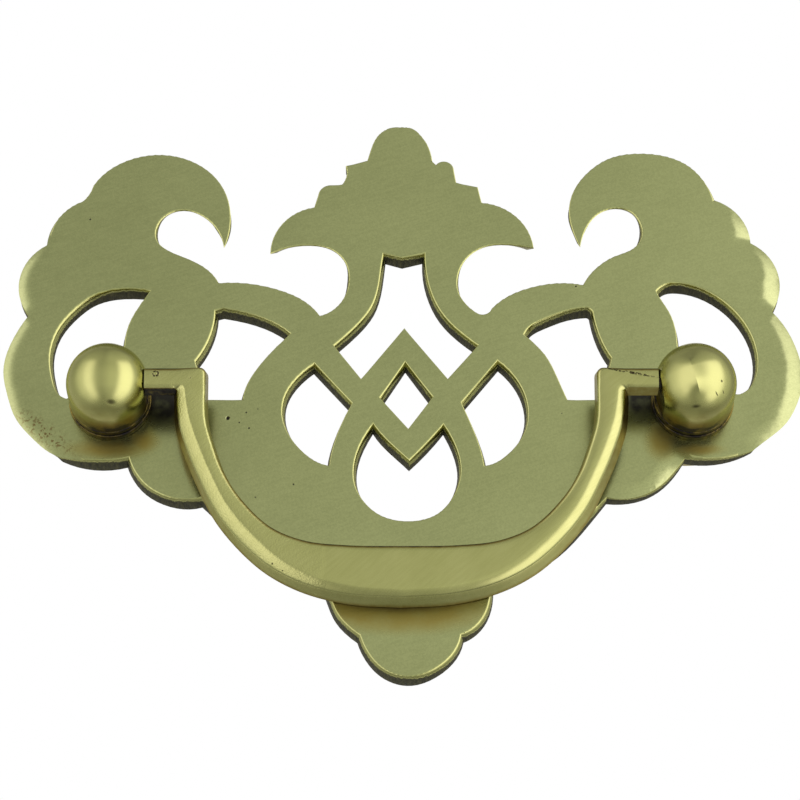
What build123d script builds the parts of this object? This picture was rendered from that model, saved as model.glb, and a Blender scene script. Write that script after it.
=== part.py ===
from build123d import *
import math
import os

# A cast brass drawer pull: a pierced backplate, two domed posts with studs, a swinging bail and two nuts.
# Millimetres. The origin is on the back of the plate, midway between the studs.
# +X is to the right and +Z is up. The pull faces -Y and its studs point to +Y.

# Plate
plate_width = 105.2  # over the two lowest outer lobes
plate_height = 78.4  # from the finial's dome to the foot of the clover
plate_thickness = 2.6
wall_draft = 0.4  # how far a cast wall leans out between front and back
edge_break = 0.2  # width of the rounded rim along every front edge
edge_drop = 0.35  # how deep the rim and the rolled lobes fall away
rolled_lobe = 1.3  # width of the rolled band on the outer lobes
rolled_small_lobe = 0.8  # width of the same band on the small lobes
curl_relief = 1.5  # how much further in the back edge lies where a curl or leaf faces down
lobe_relief = 1.0  # the same on the sides of the outer lobes
low_relief = 0.5  # the same along the foot of the right lobes
sharp_limit = 1.35  # how far a sharp tip may run out, in units of the shift

# Posts
post_spacing = 76.2  # three inches between the studs
collar_radius = 5.4
collar_height = 1.0
ring_radius = 5.25
ring_height = 0.85
groove_depth = 0.3
groove_width = 0.2
head_radius = 5.3
head_centre = 6.0  # height of the dome's centre over the plate's front
flat_distance = 4.7  # from the post's axis to the flat that faces the bail
flat_turn = 10.0  # degrees by which the right post sits turned about its stud
seat_margin = 0.1  # plate left round the collar
spigot_radius = 2.5
spigot_clearance = 0.1
spigot_shy = 0.1  # the spigot stops this far short of the plate's back
stud_radius = 2.0
board = 9.5  # drawer front held between plate and nut
thread_radius = 1.8
thread_length = 3.0
end_chamfer = 0.35

# Nuts
nut_sides = 6
nut_across_flats = 7.0
nut_thickness = 2.2
nut_clearance = 0.05
nut_chamfer = 0.35

# Bail
pivot_height = 6.8  # over the plate's front
pin_radius = 1.0
pin_clearance = 0.05
pin_length = 3.0
pin_hole_depth = 3.4
stub_gap = 0.4  # between the end of the bail's stub and the post's flat
stub_depth = 3.0  # front to back at the stub
stub_above = 1.8  # from the pivot's level to the stub's top
stub_below = 1.5
arm_to_post = 8.7  # from the arm's outer side to the post's axis
bail_drop = 29.3  # from the pivot to the underside of the grip
grip_depth = 5.0  # front to back at the grip
side_lean = 0.25  # how far each inner side leans out from front to back
lean_rise = 0.5  # how much more a side leans under a wide bevel, per mm of its width
bevel_drop = 1.1  # how deep the outer bevel falls from the bail's front
rest_gap = 0.05  # between the resting grip and the plate

front = -plate_thickness
post_x = post_spacing / 2
over = 1.0  # how far a cutter runs past the surface it cuts

# An outline is a start point and runs of points, clockwise as seen from the front. The plate's edge starts
# where its last run ends.
# A run of one point is a line, of two an arc and of more a smooth curve.
# Each run also says how its edge is worked: the width of its rolled front edge, how far its back edge lies
# outside the front one, and the relief of the back edge where the run faces down.

EDGES = {
    "broken": Vector(edge_break, wall_draft, 0),
    "low": Vector(edge_break, wall_draft, low_relief),
    "relieved": Vector(edge_break, wall_draft, curl_relief),
    "upright": Vector(edge_break, 0, curl_relief),
    "rolled": Vector(rolled_lobe, 0, lobe_relief),
    "rolled small": Vector(rolled_small_lobe, 0, lobe_relief),
    "rolled low": Vector(rolled_lobe, wall_draft, low_relief),
}

LEFT_WING = [
    ("rolled", [(-50.9, 17.4), (-47.4, 22.9)]),
    ("broken", [(-46.1, 26.7), (-42.8, 29.4)]),
    ("broken", [(-42.2, 30.1), (-41.5, 31.7)]),
    ("upright", [(-39.3, 34.2), (-36.3, 35.8), (-32.6, 36.4), (-28.5, 35.5), (-25.1, 33.0), (-23.4, 30.0),
                 (-22.9, 27.0), (-23.7, 22.5)]),
    ("relieved", [(-24.6, 25.0), (-26.3, 26.9), (-28.9, 28.0), (-31.2, 27.5), (-32.8, 25.4),
                  (-32.7, 23.6), (-31.5, 22.3), (-29.2, 21.2), (-26.4, 19.7), (-24.3, 17.3)]),
    ("broken", [(-20.1, 17.2), (-16.6, 16.4), (-13.4, 15.0), (-10.8, 12.5)]),
]
STEM_LEFT = [
    ("relieved", [(-8.9, 13.5), (-7.5, 15.4), (-7.0, 18.6), (-7.8, 20.8), (-9.4, 22.2), (-12.0, 22.8),
                  (-15.0, 22.5), (-17.5, 21.6)]),
    ("upright", [(-16.0, 26.0), (-11.7, 28.5)]),
    ("upright", [(-11.2, 30.3)]),
    ("upright", [(-10.6, 31.4), (-9.4, 31.8)]),
    ("upright", [(-8.0, 31.9)]),
    ("upright", [(-7.4, 33.2), (-7.5, 34.7)]),
    ("upright", [(-4.6, 35.5)]),
]
FINIAL = [
    ("upright", [(-3.9, 37.9), (-3.1, 39.4), (-1.7, 40.4), (-0.1, 40.6), (1.4, 40.4), (2.6, 39.4),
                 (3.5, 38.0), (4.2, 35.4)]),
    ("upright", [(4.7, 34.9)]),
    ("upright", [(6.4, 35.2), (7.1, 34.0)]),
    ("upright", [(7.4, 32.2)]),
    ("upright", [(10.3, 31.5)]),
    ("upright", [(10.8, 29.2)]),
]
STEM_RIGHT = [
    ("upright", [(15.9, 26.6), (17.7, 22.4)]),
    ("relieved", [(14.0, 22.9), (10.9, 22.5), (8.8, 21.0), (7.6, 18.7), (7.6, 16.0), (8.6, 14.2),
                  (9.9, 13.0)]),
    ("broken", [(11.0, 12.7), (12.0, 13.6)]),
    ("broken", [(14.4, 15.5), (17.4, 16.7), (21.2, 17.3), (24.2, 17.0)]),
]
RIGHT_WING = [
    ("relieved", [(26.3, 19.8), (28.4, 21.2), (31.0, 22.4), (32.2, 24.3), (32.0, 26.0), (30.9, 27.7),
                  (28.8, 28.3), (26.6, 27.6), (25.0, 25.8), (23.9, 22.6)]),
    ("upright", [(22.8, 25.5), (22.5, 28.1), (23.3, 31.2), (25.2, 33.8), (28.2, 35.9), (32.3, 36.6),
                 (36.0, 36.1), (38.8, 34.7), (40.8, 32.4), (42.1, 29.6)]),
    ("rolled small", [(45.2, 27.4), (46.7, 23.2)]),
    ("rolled", [(50.2, 18.6), (49.1, 13.2)]),
    ("rolled", [(50.9, 10.7), (52.3, 7.2), (52.8, 3.4), (51.9, -0.1), (50.4, -2.8), (48.0, -5.0),
                (46.0, -6.6)]),
    ("low", [(41.5, -7.9), (36.9, -7.8)]),
    ("rolled low", [(35.2, -10.0), (33.4, -11.8), (31.5, -12.9), (29.1, -13.5), (26.6, -13.2)]),
]
FOOT = [
    ("broken", [(24.1, -16.0), (20.2, -20.3), (14.7, -23.7), (11.4, -25.0)]),
    ("broken", [(11.3, -27.3), (10.4, -29.8), (9.2, -31.2), (7.6, -32.1)]),
    ("broken", [(6.7, -34.4), (4.4, -36.6), (1.0, -37.8), (-2.2, -36.8), (-4.3, -34.5), (-5.3, -32.2)]),
    ("broken", [(-6.9, -30.9), (-8.2, -29.3), (-9.0, -27.5), (-9.9, -25.1)]),
    ("broken", [(-13.5, -24.0), (-19.2, -20.6), (-23.2, -16.1), (-25.8, -13.4)]),
]
LEFT_LOBES = [
    ("broken", [(-28.2, -13.7), (-31.0, -13.0), (-33.2, -11.6), (-34.7, -9.7), (-35.5, -7.8)]),
    ("broken", [(-40.3, -8.2), (-44.4, -7.7)]),
    ("rolled", [(-46.2, -6.8), (-48.2, -5.0), (-50.5, -2.2), (-51.7, 1.0), (-52.4, 4.4), (-51.4, 9.0),
                (-49.4, 12.6)]),
]
PLATE_EDGE = LEFT_WING + STEM_LEFT + FINIAL + STEM_RIGHT + RIGHT_WING + FOOT + LEFT_LOBES

# Each piercing, drawn at the front of the plate
PIERCINGS = {
    "left_crescent": [
        (-44.0, 0.6), [(-45.0, 1.2), (-45.9, 3.2), (-46.4, 6.8), (-45.4, 10.7), (-43.2, 13.6), (-41.1, 15.3),
                       (-38.5, 16.2), (-36.1, 16.4), (-33.4, 16.1)],
        [(-35.1, 13.4), (-36.2, 10.9), (-36.6, 8.3), (-36.8, 4.8)], [(-42.6, 1.0)], [(-44.0, 0.6)]],
    "right_crescent": [
        (42.4, 1.4), [(36.9, 4.8)], [(36.5, 7.7), (36.3, 10.4), (35.5, 13.1), (34.2, 15.4), (33.9, 16.1)],
        [(35.0, 17.0), (36.8, 17.2), (38.9, 16.8), (41.1, 15.8), (43.3, 14.1), (45.3, 11.6), (46.5, 8.9),
         (46.9, 6.6), (46.6, 3.8), (45.7, 2.1), (44.3, 1.2)], [(42.4, 1.4)]],
    "left_bay": [
        (-25.6, 0.4), [(-27.2, 6.0)], [(-25.7, 8.6), (-24.9, 11.2), (-24.7, 13.2)], [(-23.6, 13.5)],
        [(-20.0, 12.7), (-17.0, 11.5), (-14.7, 9.9)],
        [(-17.5, 6.9), (-19.4, 4.3), (-20.3, 2.6), (-20.8, 0.4)], [(-25.6, 0.4)]],
    "right_bay": [
        (21.8, 0.4), [(20.3, 4.2), (19.0, 6.8), (17.6, 8.5), (16.2, 9.8)],
        [(17.0, 10.9), (18.9, 12.0), (21.6, 13.1), (24.6, 13.6)], [(25.2, 13.3), (25.4, 12.7)],
        [(25.9, 10.4), (26.7, 8.2), (27.7, 6.4)], [(26.2, 0.4)], [(21.8, 0.4)]],
    "left_lens": [
        (-11.5, 5.6), [(-6.5, -0.1)], [(-7.9, -3.1), (-8.9, -6.1), (-9.4, -8.9)],
        [(-10.7, -8.5), (-12.9, -6.9), (-14.6, -4.7), (-15.6, -1.9), (-15.4, 0.7), (-13.9, 3.4),
         (-11.5, 5.6)]],
    "right_lens": [
        (12.7, 6.0), [(14.8, 3.8), (16.2, 1.0), (16.5, -2.6), (15.5, -5.3), (13.5, -7.6), (12.2, -8.5),
                      (10.8, -8.9)],
        [(10.2, -6.1), (9.2, -3.2), (7.9, 0.0)], [(12.7, 6.0)]],
    "heart": [
        (-2.4, 21.6), [(0.1, 20.9)], [(3.1, 21.6)], [(3.3, 18.6), (4.1, 15.4), (5.6, 12.5), (7.8, 10.1),
                                                    (10.1, 8.2)],
        [(6.1, 3.4)], [(0.4, 10.7)], [(-5.3, 3.4)], [(-8.9, 8.2)],
        [(-5.6, 11.5), (-4.0, 13.8), (-3.0, 17.2), (-2.6, 20.4), (-2.4, 21.6)]],
    "diamond": [
        (0.5, 5.8), [(4.1, 0.8)], [(0.9, -3.7)], [(-2.8, 0.7)], [(0.5, 5.8)]],
    "drop": [
        (-3.7, -3.0), [(-2.0, -5.2), (-0.2, -7.0), (1.0, -8.2)], [(3.5, -5.5), (5.5, -3.1)],
        [(7.2, -6.6), (7.7, -9.8), (6.9, -12.8), (4.5, -15.7), (0.8, -16.6), (-2.7, -15.8), (-5.0, -13.7),
         (-6.1, -11.3), (-6.2, -8.9), (-5.3, -5.7), (-3.7, -3.0)]],
}

# The bail in its own plane: across, and down from the pivot, clockwise as seen from the front
ARM_OUT = [(29.1, 6.2), (28.0, 9.6), (26.4, 13.4), (24.2, 17.7), (21.3, 21.4), (17.4, 24.9)]
GRIP_OUT = [(12.6, 27.4), (6.6, 28.9), (0.0, 29.3)]
ARM_IN = [(20.4, 15.6), (22.5, 12.3), (23.8, 9.0), (24.8, 5.6)]
GRIP_IN = [(7.0, 21.7), (12.3, 21.1), (16.6, 19.3)]
corner_in = (25.0, 3.0)
corner_out = (29.4, 3.0)
corner_round = 0.9
bevel_arm = 1.2
bevel_grip = 0.75
bevel_top = 0.6
break_width = 0.15


def through(points):
    """One edge: a line through two points, an arc through three or a smooth curve through more."""
    if len(points) == 2:
        return Edge.make_line(*points)
    if len(points) == 3:
        return Edge.make_three_point_arc(*points)
    return Edge.make_spline(points)


def runs_with_start(start, runs):
    """Each run's points with the point that it starts from."""
    full = []
    for _, points in runs:
        full.append([Vector(*start)] + [Vector(*p) for p in points])
        start = points[-1]
    return full


def shifted(start, runs, amount):
    """The outline moved outwards point by point, by amount(how the edge is worked, outward direction)."""
    full = runs_with_start(start, runs)
    edges = [through(points) for points in full]
    works = [work for work, _ in runs]

    def outward(tangent):
        return Vector(-tangent.Y, tangent.X)

    def at_corner(i):
        """The corner where run i ends, moved out along both of its sides."""
        after = (i + 1) % len(edges)
        n1 = outward(edges[i] % 1)
        n2 = outward(edges[after] % 0)
        both = n1 + n2
        reach = min(2 / max(both.length, 0.01), sharp_limit)
        way = both.normalized()
        return full[i][-1] + way * reach * amount((works[i] + works[after]) / 2, way)

    def along(edge, point, work):
        """A point inside a run, moved straight out."""
        n = outward(edge.tangent_at(edge.param_at_point(point)))
        return point + n * amount(work, n)

    corners = [at_corner(i) for i in range(len(edges))]
    moved = []
    for edge, points, work, corner in zip(edges, full, works, corners):
        inner = [along(edge, p, work) for p in points[1:-1]]
        moved.append((work, [(p.X, p.Y) for p in inner + [corner]]))
    return (corners[-1].X, corners[-1].Y), moved


def wire(start, runs, place):
    """The outline as a wire, each point set in space by place(across, up)."""
    return Wire([through([place(p.X, p.Y) for p in points]) for points in runs_with_start(start, runs)])


def extent(axis):
    """How far the plate's outline reaches as drawn, across (axis 0) or up (axis 1)."""
    values = [point[axis] for _, points in PLATE_EDGE for point in points]
    return max(values) - min(values)


def scaled(start, runs):
    """An outline on the plate, brought from the drawn size to the plate's own."""
    wide = plate_width / extent(0)
    tall = plate_height / extent(1)
    resized = [(work, [(x * wide, z * tall) for x, z in points]) for work, points in runs]
    return (start[0] * wide, start[1] * tall), resized


def at_depth(y):
    """Places an outline in the plane of the plate, at depth y."""
    return lambda x, z: Vector(x, y, z)


def plate_blank():
    """The plate's outer form: a rolled front edge and a wall that leans out towards the back."""
    start = PLATE_EDGE[-1][1][-1]
    start, runs = scaled(start, [(EDGES[kind], points) for kind, points in PLATE_EDGE])
    rim = wire(start, runs, at_depth(front + edge_drop))
    face = wire(*shifted(start, runs, lambda work, n: -work.X), at_depth(front))
    back = wire(*shifted(start, runs, lambda work, n: work.Y + work.Z * min(0, n.Y)), at_depth(0))
    return Solid.make_loft([face, rim, back], ruled=True)


def piercing(name):
    """What is cut out for one piercing: wider at the front of the plate than at its back."""
    start, *drawn = PIERCINGS[name]
    runs = [(edge_break, points) for points in drawn]
    start, runs = scaled(start, runs)
    wide = shifted(start, runs, lambda width, n: width)
    narrow = shifted(start, runs, lambda width, n: -wall_draft)
    levels = [
        wire(*wide, at_depth(front - over)),
        wire(*wide, at_depth(front)),
        wire(start, runs, at_depth(front + edge_drop)),
        wire(*narrow, at_depth(0)),
        wire(*narrow, at_depth(over)),
    ]
    return Solid.make_loft(levels, ruled=True)


def along_y(x, z, radius, start, end):
    """A round bar from depth start to depth end."""
    return Solid.make_cylinder(radius, end - start, Plane(origin=(x, start, z), z_dir=(0, 1, 0)))


def backplate():
    """The pierced plate, with a full seat under each collar and a hole for each spigot."""
    plate = plate_blank()
    plate = plate.cut(*[piercing(name) for name in PIERCINGS])
    sides = (-post_x, post_x)
    seats = [along_y(x, 0, collar_radius + seat_margin, front, 0) for x in sides]
    holes = [along_y(x, 0, spigot_radius + spigot_clearance, front - over, over) for x in sides]
    return plate.fuse(*seats).cut(*holes)


def post(side):
    """A domed post on a grooved collar, with its spigot, stud and threaded end. side is -1 or 1."""
    x = side * post_x
    ring_start = collar_height + groove_width
    head_start = ring_start + ring_height + groove_width
    profile = [
        (0, 0), (collar_radius, 0), (collar_radius, collar_height),
        (ring_radius - groove_depth, collar_height), (ring_radius - groove_depth, ring_start),
        (ring_radius, ring_start), (ring_radius, ring_start + ring_height),
        (ring_radius - groove_depth, ring_start + ring_height), (ring_radius - groove_depth, head_start),
        (head_radius, head_start), (head_radius, head_centre),
    ]
    at = [Vector(x + r, front - h, 0) for r, h in profile]
    tip = Vector(x, front - head_centre - head_radius, 0)
    lean = math.sqrt(0.5) * head_radius
    dome = Edge.make_three_point_arc(at[-1], Vector(x + lean, front - head_centre - lean, 0), tip)
    sides = [Edge.make_line(a, b) for a, b in zip(at, at[1:])]
    turned = Face(Wire(sides + [dome, Edge.make_line(tip, at[0])]))
    body = Solid.revolve(turned, 360, Axis((x, 0, 0), (0, 1, 0)))

    # the flat on the head that faces the bail
    turn = flat_turn if side > 0 else 0
    reach = head_centre + head_radius - head_start + over
    block = Solid.make_box(2 * head_radius, reach, 4 * head_radius,
                           Plane(origin=(flat_distance, front - head_start - reach, -2 * head_radius)))
    block = block.rotate(Axis.Y, 180 if side > 0 else 0).rotate(Axis.Y, -turn).translate(Vector(x, 0, 0))
    body = body.cut(block)

    # the blind hole for the bail's pin
    hole_start = x - side * (flat_distance + over)
    hole = Solid.make_cylinder(pin_radius + pin_clearance, pin_hole_depth + over,
                               Plane(origin=(hole_start, front - pivot_height, 0), z_dir=(side, 0, 0)))
    body = body.cut(hole)

    spigot = along_y(x, 0, spigot_radius, front, -spigot_shy)
    stud = along_y(x, 0, stud_radius, -spigot_shy, board)
    thread = along_y(x, 0, thread_radius, board, board + thread_length)
    thread = thread.chamfer(end_chamfer, None, thread.edges().sort_by(Axis.Y)[-1:])
    return body.fuse(spigot, stud, thread)


def nut(side):
    """A hexagonal nut on the threaded end, bearing on the back of the board. side is -1 or 1."""
    x = side * post_x
    plane = Plane(origin=(x, board, 0), z_dir=(0, 1, 0))
    half_side = 180 / nut_sides
    outline = RegularPolygon(nut_across_flats / 2, nut_sides, major_radius=False, rotation=half_side)
    hexagon = extrude(plane * outline, nut_thickness)
    corners = nut_across_flats / 2 / math.cos(math.radians(half_side))
    envelope = Solid.make_cylinder(corners, nut_thickness, plane)
    envelope = envelope.chamfer(nut_chamfer, None, envelope.edges().filter_by(GeomType.CIRCLE))
    bore = along_y(x, 0, thread_radius + nut_clearance, board - over, board + nut_thickness + over)
    return (hexagon & envelope) - bore


def resting_tilt():
    """The angle in radians by which the bail leans back at rest, its grip just off the plate."""
    reach = math.hypot(bail_drop, grip_depth / 2)
    return math.asin((pivot_height - rest_gap) / reach) - math.atan2(grip_depth / 2, bail_drop)


def bail_place(level, drop=0.0):
    """Places a point of the bail's outline on its front (level 1) or back (level -1), drop below that."""
    tilt = resting_tilt()
    down = Vector(0, math.sin(tilt), -math.cos(tilt))
    out = Vector(0, -math.cos(tilt), -math.sin(tilt))
    pivot = Vector(0, front - pivot_height, 0)
    taper = (grip_depth - stub_depth) / 2 / bail_drop

    def place(x, s):
        half_depth = stub_depth / 2 - taper * s
        return pivot + Vector(x, 0, 0) - down * s + out * level * (half_depth - drop)

    return place


def bail_outline():
    """The bail's outline at its back, as the front sees it: stubs, square shoulders, arms and grip."""
    half = post_x - arm_to_post
    wide = half / corner_out[0]
    tall = bail_drop / GRIP_OUT[-1][1]
    stub_end = post_x - flat_distance - stub_gap
    top = stub_above
    inner = corner_in[0] * wide
    out_right = [(x * wide, -s * tall) for x, s in [corner_out] + ARM_OUT]
    grip_right = [(x * wide, -s * tall) for x, s in GRIP_OUT]
    in_right = [(x * wide, -s * tall) for x, s in ARM_IN + [corner_in]]
    grip_in_right = [(x * wide, -s * tall) for x, s in GRIP_IN]
    out_left = [(-x, z) for x, z in reversed(out_right)]
    grip_left = [(-x, z) for x, z in reversed(grip_right[:-1])]
    in_left = [(-x, z) for x, z in reversed(in_right)]
    grip_in_left = [(-x, z) for x, z in reversed(grip_in_right)]
    round_off = corner_round * (1 - math.sqrt(0.5))
    start = (inner + corner_round, top)
    runs = [
        (break_width, [(stub_end, top)]),
        (break_width, [(stub_end, -stub_below)]),
        (break_width, [(half, -stub_below)]),
        (bevel_top, [out_right[0]]),
        (bevel_arm, out_right[1:]),
        (bevel_grip, grip_right + grip_left + [out_left[0]]),
        (bevel_arm, out_left[1:]),
        (bevel_top, [(-half, -stub_below)]),
        (break_width, [(-stub_end, -stub_below)]),
        (break_width, [(-stub_end, top)]),
        (break_width, [(-inner - corner_round, top)]),
        (break_width, [(-inner - round_off, top - round_off), (-inner, top - corner_round)]),
        (break_width, [in_left[0]]),
        (break_width, in_left[1:] + grip_in_left + grip_in_right + in_right),
        (break_width, [(inner, top - corner_round)]),
        (break_width, [(inner + round_off, top - round_off), start]),
    ]
    return start, runs


def bail():
    """The swinging bail in one casting, with a round pin out of the end of each stub."""
    start, runs = bail_outline()

    def lean(width):
        return side_lean + lean_rise * (width - break_width)

    side = shifted(start, runs, lambda width, n: -lean(width))
    face = shifted(start, runs, lambda width, n: -lean(width) - width)
    body = Solid.make_loft([
        wire(start, runs, bail_place(-1)),
        wire(*side, bail_place(1, bevel_drop)),
        wire(*face, bail_place(1)),
    ], ruled=True)
    stub_end = post_x - flat_distance - stub_gap
    root = stub_end - side_lean - 2 * break_width
    pins = []
    for way in (-1, 1):
        plane = Plane(origin=(way * root, front - pivot_height, 0), z_dir=(way, 0, 0))
        pins.append(Solid.make_cylinder(pin_radius, pin_length + stub_end - root, plane))
    return body.fuse(*pins)


PIECES = {
    "backplate": backplate,
    "left_post": lambda: post(-1),
    "right_post": lambda: post(1),
    "bail": bail,
    "left_nut": lambda: nut(-1),
    "right_nut": lambda: nut(1),
}

os.makedirs("parts", exist_ok=True)
for node, make in PIECES.items():
    export_step(make(), "parts/" + node + ".step")
print("bail leans back", round(math.degrees(resting_tilt()), 2), "degrees at rest")
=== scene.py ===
from math import asin, atan, atan2, cos, dist, hypot, pi, radians, sin, sqrt

import bmesh
import bpy
import numpy as np
from mathutils import Matrix, Vector, geometry, kdtree


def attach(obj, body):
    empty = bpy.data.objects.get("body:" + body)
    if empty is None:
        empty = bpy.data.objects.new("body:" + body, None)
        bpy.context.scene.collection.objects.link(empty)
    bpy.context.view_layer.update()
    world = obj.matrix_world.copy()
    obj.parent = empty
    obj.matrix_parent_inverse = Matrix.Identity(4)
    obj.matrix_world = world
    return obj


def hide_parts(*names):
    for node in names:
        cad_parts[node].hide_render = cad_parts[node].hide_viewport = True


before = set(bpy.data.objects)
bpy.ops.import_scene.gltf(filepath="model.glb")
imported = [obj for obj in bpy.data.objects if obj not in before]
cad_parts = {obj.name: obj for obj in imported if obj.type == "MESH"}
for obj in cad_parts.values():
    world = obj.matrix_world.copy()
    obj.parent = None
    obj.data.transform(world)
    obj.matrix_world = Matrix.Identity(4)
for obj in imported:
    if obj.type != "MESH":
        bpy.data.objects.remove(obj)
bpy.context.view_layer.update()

MM = 0.001
SIDES = {-1: "left", 1: "right"}

# Sizes shared with the solids, in millimetres
FRONT = -2.6  # the plate's front; its back lies at 0
RIM = 0.35  # how deep the edge of the front falls away
POST_X = 38.1
COLLAR_RADIUS = 5.4
COLLAR_HEIGHT = 1.0
RING_RADIUS = 5.25
RING_HEIGHT = 0.85
GROOVE_WIDTH = 0.2
CORE_RADIUS = 4.9  # at the bottom of the grooves between collar, ring and head
HEAD_START = COLLAR_HEIGHT + GROOVE_WIDTH + RING_HEIGHT + GROOVE_WIDTH  # over the plate's front
HEAD_RADIUS = 5.3
HEAD_CENTRE = 6.0  # height of the dome's centre over the plate's front
FLAT = {-1: 4.9, 1: 4.7}  # how far the flat that faces the bail stands from the middle of a post
FLAT_TURN = {-1: 0.0, 1: 10.0}  # degrees by which a post sits turned about its stud
SPIGOT_RADIUS = 2.5
SPIGOT_SHY = 0.1  # the spigot stops this far short of the plate's back
STUD_RADIUS = 2.0
BOARD = 9.5  # the drawer front between the plate and a nut
THREAD_LENGTH = 3.0
THREAD_RADIUS = 1.8
THREAD_ROOT = 1.5
THREAD_PITCH = 0.7
NUT_THICKNESS = 2.2
NUT_ACROSS = 7.0
NUT_BORE = 1.85
PIVOT = 6.8  # height of the bail's pins over the plate's front
PIN_RADIUS = 1.0
PIN_ENDS = (31.0, 36.0)  # where a pin begins, inside its stub, and where it ends
PIN_HOLE_RADIUS = 1.05
PIN_HOLE_DEPTH = 3.4
REST_GAP = 0.05  # between the resting grip and the plate
STUB_DEPTH = 3.0  # the bail from front to back at its stubs
GRIP_DEPTH = 5.0  # and at its grip
BAIL_DROP = 29.3  # from the pins to the underside of the grip
STUB_ABOVE = 1.8
STUB_BELOW = 1.5
STUB_END = 33.15
STUB_CORNER = 0.9  # radius where a stub's top turns down into the arm
ARM_OUTSIDE = 29.4
ARM_INSIDE = 25.0
SIDE_LEAN = 0.25  # how far each side of the bail leans in from back to front
LEAN_RISE = 0.5  # how much more the outer side leans, for each mm of bevel over the next value
LEAN_START = 0.15

# The edges of the bail from the right arm to the middle of the grip: across, and down from the pins
OUTER = [(29.4, 3.0), (29.1, 6.2), (28.0, 9.6), (26.4, 13.4), (24.2, 17.7), (21.3, 21.4), (17.4, 24.9),
         (12.6, 27.4), (6.6, 28.9), (0.0, 29.3)]
INNER = [(25.0, 3.0), (24.8, 5.6), (23.8, 9.0), (22.5, 12.3), (20.4, 15.6), (16.6, 19.3), (12.3, 21.1),
         (7.0, 21.7), (0.0, 21.8)]


# Small tools
def placed(name, data):
    """A new object in the scene."""
    obj = bpy.data.objects.new(name, data)
    bpy.context.scene.collection.objects.link(obj)
    return obj


def link(name, mesh, body, node):
    """A mesh as a piece of the object: it rides on a body and stands for a CAD node."""
    obj = placed(name, mesh)
    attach(obj, body)
    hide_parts(node)
    return obj


def finished(bm, name):
    """The mesh of a bmesh, with every face looking outwards."""
    bmesh.ops.recalc_face_normals(bm, faces=bm.faces[:])
    mesh = bpy.data.meshes.new(name)
    bm.to_mesh(mesh)
    bm.free()
    return mesh


def shade(mesh, material, sharp):
    """One material, and smooth shading across all edges but those sharper than an angle in degrees."""
    mesh.materials.clear()
    mesh.materials.append(material)
    mesh.shade_smooth()
    mesh.set_sharp_from_angle(angle=radians(sharp))


def mask(mesh, name, values, domain="POINT"):
    """Values for a material, one for each point or corner of a mesh."""
    layer = mesh.attributes.new(name, "FLOAT", domain)
    layer.data.foreach_set("value", np.array(values, np.float32))


def bar(bm, x, radius, length, segments):
    """A round bar along X, with its middle at x and on the axis about which the bail swings. In mm."""
    place = Matrix.Translation((x * MM, (FRONT - PIVOT) * MM, 0)) @ Matrix.Rotation(pi / 2, 4, "Y")
    bmesh.ops.create_cone(bm, cap_ends=True, segments=segments, radius1=radius * MM, radius2=radius * MM,
                          depth=length * MM, matrix=place)


def smooth_curve(points, count):
    """Points spaced along a smooth curve through the given ones."""
    p = np.array(points, float)
    knots = np.concatenate([[0], np.cumsum(np.sqrt(np.linalg.norm(np.diff(p, axis=0), axis=1)))])
    tangents = np.zeros_like(p)
    step = np.diff(knots)
    slopes = np.diff(p, axis=0) / step[:, None]
    weighed = slopes[:-1] * step[1:, None] + slopes[1:] * step[:-1, None]
    tangents[1:-1] = weighed / (step[:-1] + step[1:])[:, None]
    tangents[0], tangents[-1] = slopes[0], slopes[-1]
    fine = []
    for i, h in enumerate(step):
        t = np.linspace(0, 1, 40, endpoint=False)[:, None]
        fine.append((2 * t**3 - 3 * t**2 + 1) * p[i] + (t**3 - 2 * t**2 + t) * h * tangents[i]
                    + (3 * t**2 - 2 * t**3) * p[i + 1] + (t**3 - t**2) * h * tangents[i + 1])
    fine = np.concatenate(fine + [p[-1:]])
    run = np.concatenate([[0], np.cumsum(np.linalg.norm(np.diff(fine, axis=0), axis=1))])
    at = np.linspace(0, run[-1], count)
    return np.stack([np.interp(at, run, fine[:, k]) for k in (0, 1)], axis=1)


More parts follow.
